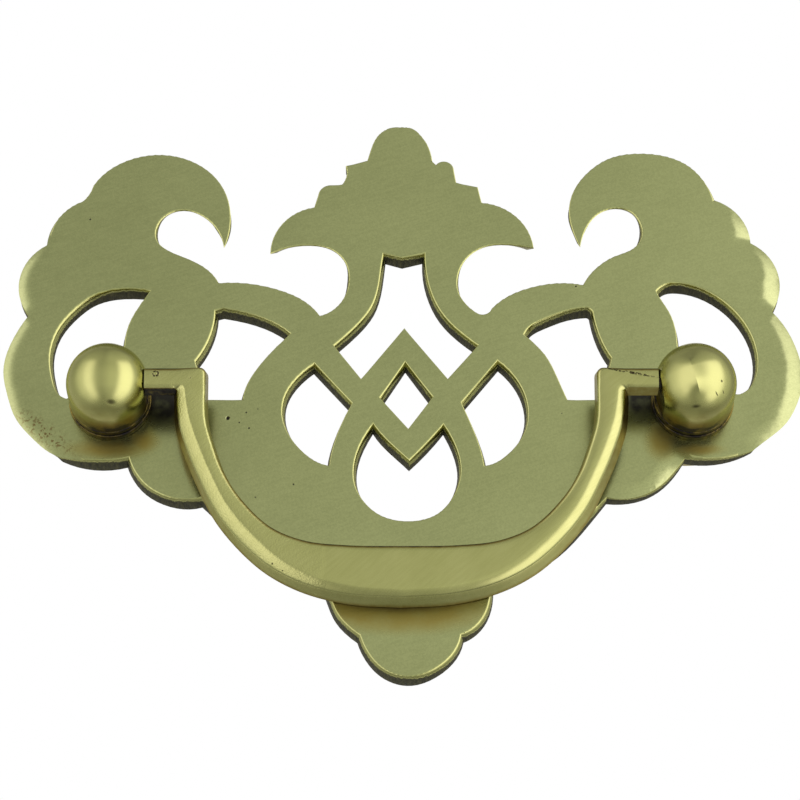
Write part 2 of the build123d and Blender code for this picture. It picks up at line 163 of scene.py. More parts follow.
class Nodes:
    """A node tree, written as short calls."""

    def __init__(self, tree):
        self.tree = tree

    def node(self, kind, *inputs, **settings):
        n = self.tree.nodes.new(kind)
        for k, v in settings.items():
            setattr(n, k, v)
        for i, v in enumerate(inputs):
            self.put(n.inputs[i], v)
        return n

    def put(self, socket, value):
        if value is None:
            return
        if isinstance(value, bpy.types.Node):
            value = value.outputs[0]
        if isinstance(value, bpy.types.NodeSocket):
            self.tree.links.new(value, socket)
        elif hasattr(socket.default_value, "__len__") and len(socket.default_value) == 4 and len(value) == 3:
            socket.default_value = (*value, 1)
        else:
            socket.default_value = value

    def math(self, op, a, b=None, c=None, clamp=False):
        return self.node("ShaderNodeMath", a, b, c, operation=op, use_clamp=clamp).outputs[0]

    def times(self, a, b, clamp=False):
        return self.math("MULTIPLY", a, b, clamp=clamp)

    def scaled(self, a, by, plus):
        return self.math("MULTIPLY_ADD", a, by, plus)

    def ramp(self, value, low, high, to_low=0.0, to_high=1.0, smooth=True):
        n = self.node("ShaderNodeMapRange", value, low, high, to_low, to_high)
        n.interpolation_type = "SMOOTHSTEP" if smooth else "LINEAR"
        return n.outputs[0]

    def curve(self, value, stops):
        """A soft curve through (value, result) stops."""
        low, high = stops[0][0], stops[-1][0]
        peak = max(level for _, level in stops)
        n = self.node("ShaderNodeValToRGB", self.ramp(value, low, high, smooth=False))
        line = n.color_ramp
        line.interpolation = "EASE"
        for at, level in stops[1:-1]:
            line.elements.new((at - low) / (high - low))
        for element, (at, level) in zip(line.elements, stops):
            element.color = (*[level / peak] * 3, 1)
        return self.times(n.outputs[0], peak)

    def mix(self, factor, a, b):
        n = self.node("ShaderNodeMix", data_type="RGBA")
        self.put(n.inputs["Factor"], factor)
        for socket, value in ((n.inputs[6], a), (n.inputs[7], b)):
            self.put(socket, value)
        return n.outputs[2]

    def most(self, values):
        best = values[0]
        for v in values[1:]:
            best = self.math("MAXIMUM", best, v)
        return best


class Graph(Nodes):
    """A material's nodes. Places and sizes are in mm, on the XZ plane."""

    def __init__(self, name):
        self.mat = bpy.data.materials.new(name)
        self.mat.use_nodes = True
        super().__init__(self.mat.node_tree)
        self.shader = self.tree.nodes["Principled BSDF"]
        self.where = self.node("ShaderNodeTexCoord").outputs["Object"]
        self.xyz = self.node("ShaderNodeSeparateXYZ", self.where)

    def noise(self, cells, detail, rough, seed, turn=0.0):
        """Noise with so many cells per metre, all round or along X, Y and Z, turned about Y by degrees."""
        where = self.where
        if turn:
            where = self.node("ShaderNodeMapping", where)
            where.inputs["Rotation"].default_value = (0, radians(turn), 0)
        spread = self.node("ShaderNodeMapping", where)
        spread.inputs["Scale"].default_value = cells if isinstance(cells, tuple) else (cells,) * 3
        spread.inputs["Location"].default_value = (seed, seed * 1.7, seed * 2.3)
        n = self.node("ShaderNodeTexNoise")
        self.put(n.inputs["Vector"], spread)
        n.inputs["Scale"].default_value = 1.0
        n.inputs["Detail"].default_value = detail
        n.inputs["Roughness"].default_value = rough
        return n.outputs[0]

    def attribute(self, name):
        return self.node("ShaderNodeAttribute", attribute_name=name).outputs["Fac"]

    def local(self, x, z, lean, wide=1.0, tall=1.0):
        """How far a point lies from a place, along two axes that lean by degrees and are stretched."""
        dx = self.scaled(self.xyz.outputs[0], 1 / MM, -x)
        dz = self.scaled(self.xyz.outputs[2], 1 / MM, -z)
        ca, sa = cos(radians(lean)), sin(radians(lean))
        u = self.math("ADD", self.times(dx, ca / wide), self.times(dz, sa / wide))
        v = self.math("ADD", self.times(dx, -sa / tall), self.times(dz, ca / tall))
        return u, v

    def spot(self, x, z, radius, soft=0.3, wide=1.0, tall=1.0, lean=0.0):
        """1 inside a round or oval patch and 0 outside."""
        u, v = self.local(x, z, lean, wide, tall)
        reach = self.math("SQRT", self.math("ADD", self.times(u, u), self.times(v, v)))
        return self.ramp(reach, radius * (1 - soft), radius * (1 + soft), 1.0, 0.0)

    def spots(self, places):
        return self.most([self.spot(*place) for place in places])

    def ridge(self, x, z, half, wide, lean):
        """1 on a line with that half length, falling away sharply on both sides of it."""
        u, v = (self.math("ABSOLUTE", way) for way in self.local(x, z, lean))
        sharp = self.math("EXPONENT", self.times(u, -1 / wide))
        return self.times(sharp, self.ramp(v, half * 0.4, half * 1.6, 1.0, 0.0))

    def streaks(self, colour, pattern, low, high, amount, pale):
        """A colour with faint dark and pale streaks, where a pattern is low and where it is high."""
        share = self.ramp(pattern, low, high)
        return self.mix(share, self.mix(amount, colour, DARK_DIRT_STREAK_AND_SHADE), self.mix(amount, colour, pale))

    def bump(self, height, microns, normal=None):
        n = self.node("ShaderNodeBump")
        n.inputs["Distance"].default_value = microns * 1e-6
        self.put(n.inputs["Height"], height)
        self.put(n.inputs["Normal"], normal)
        return n.outputs[0]

    def finish(self, colour, roughness, metallic, normal):
        self.put(self.shader.inputs["Base Color"], colour)
        self.put(self.shader.inputs["Roughness"], roughness)
        self.put(self.shader.inputs["Metallic"], metallic)
        self.put(self.shader.inputs["Normal"], normal)
        return self.mat


# Colours
BRASS = (0.355, 0.36, 0.125)
BRASS_PALE = (0.385, 0.388, 0.142)
FACE = (0.312, 0.338, 0.139)
FACE_PALE = (0.338, 0.365, 0.152)
PLATE_BRUSHED = (0.6, 0.62, 0.3)  # pale brush lines and grain on the plate
BAIL_BRUSHED = (0.7, 0.7, 0.4)  # and on the bail
# gold: tarnish and painted reflections on the plate; brown and dark: dirt and painted shade on the bail,
# posts and plate, the dark one also for dark brush streaks
GOLD_TARNISH_AND_REFLECTION = (0.29, 0.225, 0.05)
BROWN_DIRT_AND_SHADE = (0.215, 0.165, 0.036)
DARK_DIRT_STREAK_AND_SHADE = (0.022, 0.020, 0.020)
SPECK = (0.15, 0.09, 0.025)
CAST_DARK = (0.020, 0.021, 0.009)
CAST_PALE = (0.072, 0.069, 0.025)
PIT = (0.02, 0.018, 0.014)
MARK = (0.04, 0.032, 0.014)
BACK_TONE = (0.30, 0.25, 0.09)
TURNED_GOLD = (0.36, 0.31, 0.11)
TURNED_BROWN = (0.28, 0.22, 0.075)
EDGE_TINT = (1.0, 0.96, 0.84, 1.0)  # the metal's colour where it is seen at a low angle

# Spots: across, up and radius in mm, softness of the edge, stretch across and up, and lean in degrees
# brown tarnish round the collars, and painted reflections of the bail's left arm and grip on the plate
TARNISH_AND_REFLECTION_SPOTS = [(-38.2, -6.6, 2.4, 0.8, 1.7, 0.45), (-33.6, -5.6, 1.3, 0.8, 1.2, 0.9),
               (33.9, -5.4, 1.9, 0.75, 0.9, 1.1), (38.5, -6.7, 1.4, 0.8, 1.9, 0.45),
               (-28.4, -6.6, 0.55, 0.6, 0.9, 8.0, 14), (0.0, -28.6, 3.0, 0.4, 3.4, 1.0)]
# painted shade: the dark reflections of the stubs' undersides on the plate under them
STUB_SHADE_SPOTS = [(-31.2, 0.4, 2.6, 0.45, 1.3, 1.35), (31.6, 0.4, 2.1, 0.5, 1.2, 1.35)]
GRIP_CONTACT_SHADE = (0.0, -28.4, 1.0, 0.8, 5.2, 0.7)  # painted contact shade where the grip rests against the plate
SPECKLED = (-46.4, -4.4, 1.2, 0.8, 3.4, 0.9, -38)  # the edge of the lower left lobe
POST_MARKS = [(-37.25, -4.0, 0.26, 0.8, 1.7, 0.75), (37.75, -4.4, 0.22, 0.8, 1.9, 0.6),
              (41.1, -1.4, 0.07, 0.8, 1.6, 1.6, 30), (40.4, -3.0, 0.06, 0.8, 0.8, 3.4, 35),
              (41.3, -2.6, 0.05, 0.8, 0.8, 3.2, 20)]
BAIL_MARKS = [(-27.2, -0.1, 0.09, 0.5), (-16.4, -24.4, 0.09, 0.5), (-15.1, -25.3, 0.07, 0.5)]
SEAMS = [(29.2, 0.72, 1.0, 0.4, 3.3, 0.17, -11.6), (-31.6, 1.3, 1.0, 0.4, 1.3, 0.16)]  # on the bail's stubs
RING = [(-31.7, 0.5, 0.48, 0.2), (-31.7, 0.5, 0.22, 0.4)]  # a worn ring on the left stub: outside, hollow
CREST = (37.44, -0.46, 2.0, 1.3, 15.6)  # on a dome: across, up, half length, width and lean

# Pits in the plate: across, up and radius, in mm
PITS = [(-22.7, -2.3, 0.24), (-20.3, -1.5, 0.1), (-21.2, -2.9, 0.09), (-19.9, -3.7, 0.11),
        (-41.7, 26.6, 0.12), (-18.8, -1.0, 0.07), (21.0, -1.6, 0.06), (-14.0, -11.6, 0.1),
        (-18.9, -13.4, 0.08), (23.2, 16.7, 0.1)]
PIT_SOFTNESS = 0.35


# Materials
def tarnish_and_shade(g, face, front):
    """The front's colour with tarnish round the collars, painted reflections of the bail and painted shade
    under the stubs and the grip, and the mask of all these.
    """
    warp = g.scaled(g.noise(420, 3.0, 0.6, 4.0), 0.9, 0.55)
    # painted contact shade where the grip rests
    grip = g.times(g.spot(*GRIP_CONTACT_SHADE), 0.6)
    # brown tarnish round the collars, and painted reflections of the bail
    brown = g.times(g.spots(TARNISH_AND_REFLECTION_SPOTS), warp, clamp=True)
    brown = g.times(brown, front)
    # painted shade under the stubs, with the grip's contact shade
    dark = g.times(g.math("MAXIMUM", g.spots(STUB_SHADE_SPOTS), grip), warp, clamp=True)
    dark = g.times(dark, front)
    face = g.mix(g.times(brown, 0.85), face, GOLD_TARNISH_AND_REFLECTION)
    face = g.mix(g.times(dark, 0.97), face, DARK_DIRT_STREAK_AND_SHADE)
    specks = g.times(g.ramp(g.noise(2600, 3.0, 0.65, 5.0), 0.53, 0.6), g.spot(*SPECKLED))
    face = g.mix(g.times(specks, front), face, SPECK)
    return face, g.math("MAXIMUM", brown, dark)


def cast_skin(g, deep, side, back, cast, blotch):
    """Where the casting's dark skin is left: below a ragged line on the walls, and in clouds on the back;
    walls that take more light from the side keep less of it, which is painted light.
    """
    ragged = g.scaled(cast, 0.5, g.math("ADD", deep, -0.25))
    # painted light: walls that take more light from the side are left with less dark skin
    lit_wall = g.scaled(side, 0.62, 0.03)
    skin = g.math("DIVIDE", g.math("SUBTRACT", ragged, lit_wall), 0.16, clamp=True)
    skin = g.times(skin, g.ramp(deep, 0.0, 0.06))
    return g.math("MAXIMUM", skin, g.times(back, g.ramp(blotch, 0.3, 0.72, 0.34, 0.56)))


def plate_material():
    g = Graph("plate_brass")
    rim, deep, side, roll, back = (g.attribute(name) for name in PLATE_MASKS)
    front = g.math("SUBTRACT", 1.0, back)
    cloud = g.noise(60, 3.0, 0.6, 1.0)
    brush = g.noise((420, 400, 4200), 3.0, 0.6, 2.0, turn=20)
    grain = g.noise(3400, 2.0, 0.6, 3.0)
    cast = g.noise((2600, 260, 2600), 4.0, 0.7, 6.0)
    blotch = g.noise(260, 6.0, 0.7, 9.0)
    skin = cast_skin(g, deep, side, back, cast, blotch)
    pits = g.times(front, g.spots([(*pit, PIT_SOFTNESS) for pit in PITS]))
    # colour: the ground front with its tarnish, painted reflections and painted shade, the bright rims, the
    # skin and the pits
    face = g.mix(g.ramp(cloud, 0.3, 0.7), FACE, FACE_PALE)
    face = g.mix(g.times(back, 0.5), face, BACK_TONE)
    face = g.streaks(face, brush, 0.3, 0.7, 0.04, PLATE_BRUSHED)
    face = g.streaks(face, grain, 0.35, 0.65, 0.05, PLATE_BRUSHED)
    face, tarnish_and_shade_mask = tarnish_and_shade(g, face, front)
    edge = g.mix(g.ramp(cloud, 0.3, 0.7), BRASS, BRASS_PALE)
    colour = g.mix(rim, face, edge)
    colour = g.mix(skin, colour, g.mix(g.ramp(cast, 0.35, 0.75), CAST_DARK, CAST_PALE))
    colour = g.mix(pits, colour, PIT)
    rough = g.scaled(brush, 0.1, 0.19)
    rough = g.scaled(tarnish_and_shade_mask, 0.1, rough)
    rough = g.math("MAXIMUM", rough, g.times(back, 0.4))
    rough = g.ramp(skin, 0.0, 1.0, rough, 0.6, smooth=False)
    metal = g.math("SUBTRACT", 1.0, g.times(skin, 0.5))
    # relief: waves, brush lines, the walls' skin, the sandy back, the pits and the wobble of rims and lobes
    normal = g.bump(g.noise(60, 1.0, 0.5, 7.0), 120)
    normal = g.bump(brush, 1.2, normal)
    normal = g.bump(g.times(cast, skin), 180, normal)
    sand = g.scaled(blotch, 3.0, g.noise(1500, 3.0, 0.6, 10.0))
    normal = g.bump(g.times(sand, back), 90, normal)
    normal = g.bump(pits, -100, normal)
    wobble = g.times(g.noise(700, 3.0, 0.6, 8.0), g.math("MAXIMUM", rim, roll))
    normal = g.bump(wobble, 12, normal)
    g.shader.inputs["Specular Tint"].default_value = EDGE_TINT
    return g.finish(colour, rough, metal, normal)


def bail_wear(g, colour, marks, normal):
    """What only the bail has: a grainy left half, brush lines, and porous seams and a ring on its stubs."""
    grain = g.times(g.noise(4200, 2.0, 0.6, 15.0), g.attribute("cast"))
    normal = g.bump(grain, 40, normal)
    brush = g.noise((350, 350, 3600), 3.0, 0.6, 16.0, turn=40)
    colour = g.streaks(colour, brush, 0.3, 0.7, 0.035, BAIL_BRUSHED)
    normal = g.bump(brush, 0.5, normal)
    holes = g.ramp(g.noise(2600, 3.0, 0.7, 17.0), 0.44, 0.52)
    outside, hollow = (g.spot(*s) for s in RING)
    seams = g.math("MAXIMUM", g.spots(SEAMS), g.math("SUBTRACT", outside, hollow))
    marks = g.math("MAXIMUM", marks, g.times(seams, holes))
    return colour, marks, normal


def polished(name, spots, dull, is_bail):
    """Worn, polished brass for the bail or the posts, whose domes have a faint crest. dull is the least
    roughness.
    """
    g = Graph(name)
    cloud = g.noise(110, 3.0, 0.6, 11.0)
    fine = g.noise((900, 2400, 900), 3.0, 0.65, 12.0)
    colour = g.mix(g.ramp(cloud, 0.3, 0.72), BRASS, BRASS_PALE)
    worn = g.scaled(g.noise(700, 4.0, 0.65, 13.0), 1.1, 0.35)
    # dirt and painted shade from the mesh's mask, broken up by a noise: brown, then dark where strongest
    stain_and_shade = g.times(g.attribute("dirt_and_shade"), worn, clamp=True)
    colour = g.mix(g.ramp(stain_and_shade, 0.05, 0.6), colour, BROWN_DIRT_AND_SHADE)
    colour = g.mix(g.ramp(stain_and_shade, 0.5, 0.95), colour, DARK_DIRT_STREAK_AND_SHADE)
    marks = g.times(g.spots(spots), 0.8)
    rough = g.scaled(fine, 0.1, dull)
    rough = g.scaled(stain_and_shade, 0.25, rough)
    normal = g.bump(g.noise(160, 2.0, 0.5, 14.0), 60)
    normal = g.bump(fine, 4, normal)
    if is_bail:
        colour, marks, normal = bail_wear(g, colour, marks, normal)
    else:
        normal = g.bump(g.ridge(*CREST), 620, normal)
    colour = g.mix(marks, colour, MARK)
    normal = g.bump(marks, -60, normal)
    g.shader.inputs["Specular Tint"].default_value = EDGE_TINT
    return g.finish(colour, rough, 1.0, normal)


def turned_material():
    """Lathe-turned brass for what lies behind the plate."""
    g = Graph("stud_brass")
    cloud = g.noise(300, 3.0, 0.6, 21.0)
    colour = g.mix(g.ramp(cloud, 0.3, 0.7), TURNED_GOLD, TURNED_BROWN)
    rings = g.noise((50, 9000, 50), 1.0, 0.5, 22.0)
    rough = g.scaled(cloud, 0.2, 0.28)
    return g.finish(colour, rough, 1.0, g.bump(rings, 8))


# The plate
# side is how much light a wall takes, which thins its dark skin in the material as painted light
PLATE_MASKS = ("rim", "deep", "side", "roll", "back")
ON_LEVEL = 0.02  # a point this near the level of the front, of the rim's foot or of the back lies on it
RIM_ROWS = (0.35, 0.65, 0.88)  # where the rim and the wall are cut into rows, as shares of their width
WALL_ROWS = (0.2, 0.45, 0.72)
SKIN_STEP = 0.55  # spacing of the points over the front
ROW_STEP = 0.87  # and of their rows, as a share of it
EDGE_MARGIN = 0.6  # and their least distance from the front's edge, as a share of it
ROLLED_OVER = 0.5  # a front edge wider than this is rolled, a narrower one only broken

# The rolled lobes. Where there are two values they are for the left and the right side of the plate
ROLL = (23.0, 38.0)  # degrees by which a rolled lobe's edge turns away from the front
ROLL_REACH = (1.9, 2.6)  # how far in from the edge that turn begins
ROLL_CURVE = (1.1, 0.55)  # power of its rise towards the edge
ROLL_BLEND = 20.0  # width over which the left side's values pass into the right side's
ROLL_FADE = 3.2  # over which it fades out at the ends of a rolled run
NOTCH_FADE = 1.3  # and beside a notch between two lobes
NOTCH = -0.75  # a bend of the edge with a larger cosine than this is a notch
ROLL_TOP = 0.55  # how much less the right lobes are rolled where their edge faces up
ROLL_FOOT = 0.45  # and where it faces down
ON_EDGE = 0.15  # a point this near a rolled edge takes its way from the edge's own faces

# The way that the surface looks
DOME = 0.05  # slope of the slightly domed front at the ends of the plate
DOME_SPAN = 52  # from the middle of the plate to its ends
RIM_TILT = 62  # degrees between the front and the foot of a rim
RIM_EASE = 27  # and by how much less on a wall that takes light from the side
WALL_TILT = 86  # degrees between the front and the foot of a wall
WALL_CURVE = 0.6  # power by which a wall steepens
SAME_WALL = 0.85  # cosine of the widest bend over which two wall faces are smoothed
OPEN_RIGHT = 0.9  # how much light a wall takes that looks to the right
OPEN_LEFT = 0.45  # and one that looks to the left


def inside(points, edges):
    """Which points of the XZ plane lie in the metal: an odd number of boundary edges to their right."""
    x, z = points[:, 0:1], points[:, 1:2]
    x0, z0, x1, z1 = (edges[:, i] for i in range(4))
    odd = np.zeros(len(points), int)
    for part in np.array_split(np.arange(len(edges)), max(1, len(edges) // 200)):
        span = (z0[part] > z) != (z1[part] > z)
        rise = np.where(z1[part] == z0[part], 1.0, z1[part] - z0[part])
        cut = x0[part] + (z - z0[part]) * (x1[part] - x0[part]) / rise
        odd += (span & (cut > x)).sum(axis=1)
    return odd % 2 == 1


def nearest(places):
    """A tree that finds the nearest of some places on the XZ plane."""
    tree = kdtree.KDTree(len(places))
    for n, p in enumerate(places):
        tree.insert((p[0], p[1], 0), n)
    tree.balance()
    return tree


def along(points, edges, step=0.05):
    """A tree of places close together along edges, seen from the front."""
    places = []
    for i, j in edges:
        a, b = points[i][[0, 2]], points[j][[0, 2]]
        for t in np.linspace(0, 1, 2 + int(np.linalg.norm(b - a) / step)):
            places.append(a * (1 - t) + b * t)
    return nearest(places)


class PlateMesh:
    """The plate's mesh as lists: points in mm, how far round its edge each lies, faces with their kinds."""

    def __init__(self, source):
        bm = bmesh.new()
        bm.from_mesh(source.data)
        bmesh.ops.remove_doubles(bm, verts=bm.verts, dist=1e-7)
        bm.verts.ensure_lookup_table()
        self.points = [np.array(v.co) / MM for v in bm.verts]
        self.turn = [self.edge_place(p[1] - FRONT) for p in self.points]  # 0 front, 1 below the rim, 2 back
        self.cut = {}
        self.faces = []  # (point numbers, kind)
        front = {f.index for f in bm.faces if all(self.turn[v.index] == 0 for v in f.verts)}
        self.border = [(e.verts[0].index, e.verts[1].index) for e in bm.edges
                       if sum(f.index in front for f in e.link_faces) == 1]
        for f in bm.faces:
            ids = [v.index for v in f.verts]
            if f.index in front:
                continue
            if all(self.turn[i] == 2 for i in ids):
                self.faces.append((ids, "back"))
            else:
                self.strip(ids)
        bm.free()
        self.skin()

    @staticmethod
    def edge_place(depth):
        for place, level in ((0, 0.0), (1, RIM), (2, -FRONT)):
            if abs(depth - level) < ON_LEVEL:
                return place
        return depth / RIM if depth < RIM else 1 + (depth - RIM) / (-FRONT - RIM)

    def between(self, p, q):
        """The points of one edge that runs round the plate's edge, shared by the faces beside it."""
        if self.turn[p] > self.turn[q]:
            return self.between(q, p)[::-1]
        if (p, q) not in self.cut:
            row = [p]
            at_rim = self.turn[p] == 0 and self.turn[q] == 1
            narrow = dist(self.points[p], self.points[q]) < ROLLED_OVER
            for t in RIM_ROWS if at_rim else WALL_ROWS:
                point = self.points[p] * (1 - t) + self.points[q] * t
                if at_rim and narrow:
                    point[1] = FRONT + RIM * (1 - sqrt(1 - t * t))
                row.append(len(self.points))
                self.points.append(point)
                self.turn.append(self.turn[p] * (1 - t) + self.turn[q] * t)
            self.cut[p, q] = row + [q]
        return self.cut[p, q]

    def strip(self, ids):
        """One triangle of the rim or the wall, cut into rows along the edge."""
        a, b, c = (self.points[i] for i in ids)
        across = np.cross(b - a, c - a)
        if across[1] > 0.2 * np.linalg.norm(across):
            self.faces.append((ids, "back"))
            return
        for turned in (ids, ids[1:] + ids[:1], ids[2:] + ids[:2]):
            a, b, c = turned
            if self.turn[a] == self.turn[b] and self.turn[c] != self.turn[a]:
                left, right = self.between(a, c), self.between(b, c)
                for i in range(len(left) - 2):
                    self.faces.append(([left[i], right[i], right[i + 1], left[i + 1]], "edge"))
                self.faces.append(([left[-2], right[-2], c], "edge"))
                return
        self.faces.append((ids, "edge"))

    def skin(self):
        """The front, as a fine net of triangles between its borders."""
        edges = np.array([[*self.points[i][[0, 2]], *self.points[j][[0, 2]]] for i, j in self.border])
        ids = sorted({i for pair in self.border for i in pair})
        rank = {i: n for n, i in enumerate(ids)}
        border = np.array([self.points[i][[0, 2]] for i in ids])
        low, high = border.min(axis=0), border.max(axis=0)
        rows = np.arange(low[1], high[1], SKIN_STEP * ROW_STEP)
        net = np.array([(x + (n % 2) * SKIN_STEP / 2, z) for n, z in enumerate(rows)
                        for x in np.arange(low[0], high[0], SKIN_STEP)])
        net = net[inside(net, edges)]
        tree = nearest(border)
        net = [p for p in net if tree.find((p[0], p[1], 0))[2] > SKIN_STEP * EDGE_MARGIN]
        coords = [Vector((float(p[0]), float(p[1]))) for p in [*border, *net]]
        links = [(rank[i], rank[j]) for i, j in self.border]
        verts, _, faces, origin, _, _ = geometry.delaunay_2d_cdt(coords, links, [], 0, 1e-6)
        number = []
        for v, first in zip(verts, origin):
            if first and first[0] < len(ids):
                number.append(ids[first[0]])
            else:
                number.append(len(self.points))
                self.points.append(np.array((v[0], FRONT, v[1])))
                self.turn.append(0)
        centres = np.array([np.mean([verts[i] for i in f], axis=0) for f in faces])
        for f, metal in zip(faces, inside(centres, edges)):
            if metal:
                a, b, c = (self.points[number[i]] for i in f)
                outward = np.cross(b - a, c - a)[1] < 0
                self.faces.append(([number[i] for i in (f if outward else f[::-1])], "front"))


def face_ways(net, points):
    """The faces' normals and ways on the XZ plane; for each point, its wall faces' ways and areas."""
    around = [[] for _ in points]
    ways, square = [], []
    for ids, kind in net.faces:
        a, b, c = (points[i] for i in ids[:3])
        cross = np.cross(b - a, c - a) if len(ids) == 3 else np.cross(c - a, points[ids[3]] - b)
        area = np.linalg.norm(cross) / 2
        square.append(cross / max(2 * area, 1e-9))
        way = np.array((cross[0], cross[2]))
        way = way / max(np.linalg.norm(way), 1e-9)
        ways.append(way)
        if kind == "edge":
            for i in ids:
                around[i].append((way, area))
    return square, ways, around


def rim_widths(net, points):
    """The width of the rim or of the rolled band at each point of it."""
    front_line = along(points, net.border)

    def reach(i):
        return front_line.find((points[i][0], points[i][2], 0))[2]

    width = {}
    for (p, q), row in net.cut.items():
        if net.turn[p] == 0 and net.turn[q] == 1:
            wide = reach(q)
            for i in row[1:]:
                width[i] = wide
            width[p] = max(width.get(p, 0.0), wide)
    for i, turn in enumerate(net.turn):
        if 0 < turn <= 1 and i not in width:
            width[i] = reach(i) / turn
    return width


class Rolled:
    """How the front turns away along the rolled lobes."""

    def __init__(self, net, points, width):
        self.points = points
        foot = {i for i, turn in enumerate(net.turn) if turn == 1 and width.get(i, 0) > ROLLED_OVER}
        pairs = {(min(i, j), max(i, j)) for ids, kind in net.faces if kind == "edge"
                 for i, j in zip(ids, ids[1:] + ids[:1]) if i in foot and j in foot}
        self.line = along(points, sorted(pairs))
        beside = {}
        for i, j in pairs:
            beside.setdefault(i, []).append(j)
            beside.setdefault(j, []).append(i)
        self.stops = []  # where a rolled run ends or has a notch, and how far the roll fades from there
        for i, others in beside.items():
            here = points[i][[0, 2]]
            if len(others) == 1:
                self.stops.append((here, ROLL_FADE))
            elif len(others) == 2:
                a, b = (w / np.linalg.norm(w) for w in (points[j][[0, 2]] - here for j in others))
                if a @ b > NOTCH:
                    self.stops.append((here, NOTCH_FADE))

    def at(self, i, way=None):
        """At a point of the front: the way that it turns, the angle, and its share of the full turn."""
        here = Vector((self.points[i][0], self.points[i][2], 0))
        near, _, distance = self.line.find(here)
        fade = min([1.0] + [dist(near[:2], stop) / span for stop, span in self.stops])
        right = min(1.0, max(0.0, 0.5 + here.x / ROLL_BLEND))
        steepest, reach, curve = (a * (1 - right) + b * right for a, b in (ROLL, ROLL_REACH, ROLL_CURVE))
        if way is None or distance > ON_EDGE:
            way = np.array((near - here)[:2]) / max(distance, 1e-6)
        rise = 1 - right * (ROLL_TOP * max(0.0, way[1]) + ROLL_FOOT * min(0.0, way[1]) ** 2)
        share = rise * max(0.0, 1 - distance / (reach * rise)) ** curve
        return way, radians(steepest) * share * fade, share * fade


def tilted(point, way, angle):
    """The normal of the domed front at a point, tilted towards a way of the XZ plane."""
    flat = np.array((DOME * point[0] / DOME_SPAN, -1.0, DOME * point[2] / DOME_SPAN))
    n = flat * cos(angle) + np.array((way[0], 0, way[1])) * sin(angle)
    return n / np.linalg.norm(n)


def plate():
    """The pierced plate: rolled lobes, rounded rims, cast walls and masks for its finish."""
    net = PlateMesh(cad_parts["backplate"])
    points = np.array(net.points)
    square, ways, around = face_ways(net, points)
    width = rim_widths(net, points)
    rolled = Rolled(net, points, width)
    normals = []
    masks = []  # for each corner, in the order of PLATE_MASKS
    front_cache = {}
    for (ids, kind), face_way, straight in zip(net.faces, ways, square):
        wide = max(width.get(i, 0.0) for i in ids) > ROLLED_OVER and max(net.turn[i] for i in ids) <= 1
        for i in ids:
            turn = net.turn[i]
            if kind == "back":
                normals.append(straight)
                masks.append((0, 0, 0, 0, 1))
                continue
            if kind == "front":
                if i not in front_cache:
                    way, angle, share = rolled.at(i)
                    front_cache[i] = (tilted(points[i], way, angle), share)
                normal, share = front_cache[i]
                normals.append(normal)
                masks.append((0, 0, 0, share, 0))
                continue
            way = sum(w * area for w, area in around[i] if w @ face_way > SAME_WALL)
            way = way / max(np.linalg.norm(way), 1e-9)
            open_side = OPEN_RIGHT * way[0] if way[0] > 0 else -OPEN_LEFT * way[0]
            at_rim = radians(RIM_TILT - RIM_EASE * open_side)
            if turn > 1:
                angle = at_rim + (radians(WALL_TILT) - at_rim) * (turn - 1) ** WALL_CURVE
                masks.append((1, turn - 1, open_side, 0, 0))
            elif wide:
                way, angle, share = rolled.at(i, way)
                masks.append((0, 0, open_side, share, 0))
            else:
                angle = at_rim * turn
                masks.append((turn, 0, open_side, 0, 0))
            normals.append(tilted(points[i], way, angle))
    mesh = bpy.data.meshes.new("plate_cast")
    mesh.from_pydata([tuple(p * MM) for p in points], [], [ids for ids, _ in net.faces])
    mesh.update()
    mesh.polygons.foreach_set("use_smooth", [True] * len(mesh.polygons))
    mesh.normals_split_custom_set([tuple(n) for n in normals])
    for name, values in zip(PLATE_MASKS, zip(*masks)):
        mask(mesh, name, values, "CORNER")
    mesh.materials.append(plate_material())
    link("plate_cast", mesh, "mounting", "backplate")


# The posts
LATHE_STEPS = 160
THREAD_STEPS = 40
FOOT_DIRT_AND_SHADE = 3.6  # how far up a head the dirt and painted shade round its foot reach
UNDER_PAINTED_SHADE = (11.2, 3.4)  # height at which the painted shade on a head's underside ends, and over which it fades


def lathe(bm, x, profile):
    """A turned form about the Y axis through (x, 0). profile is (radius, depth) in mm."""
    rings = []
    for r, depth in profile:
        if r < 1e-6:
            rings.append([bm.verts.new((x * MM, depth * MM, 0))])
            continue
        rings.append([bm.verts.new(((x + r * cos(a)) * MM, depth * MM, r * sin(a) * MM))
                      for a in (2 * pi * i / LATHE_STEPS for i in range(LATHE_STEPS))])
    for low, high in zip(rings, rings[1:]):
        for i in range(LATHE_STEPS):
            j = (i + 1) % LATHE_STEPS
            corners = [low[i % len(low)], low[j % len(low)], high[j % len(high)], high[i % len(high)]]
            unique = list(dict.fromkeys(corners))
            if len(unique) > 2:
                bm.faces.new(unique)
    for ring in (rings[0], rings[-1]):
        if len(ring) > 1:
            bm.faces.new(ring)


def rounded(points, radius, steps):
    """A polyline with its inner corners rounded."""
    out = [points[0]]
    for a, b, c in zip(points, points[1:], points[2:]):
        a, b, c = Vector(a), Vector(b), Vector(c)
        r = min(radius, (a - b).length * 0.45, (c - b).length * 0.45)
        p, q = b + (a - b).normalized() * r, b + (c - b).normalized() * r
        for i in range(steps + 1):
            t = i / steps
            out.append(tuple(p * (1 - t) ** 2 + b * 2 * t * (1 - t) + q * t ** 2))
    return out + [points[-1]]


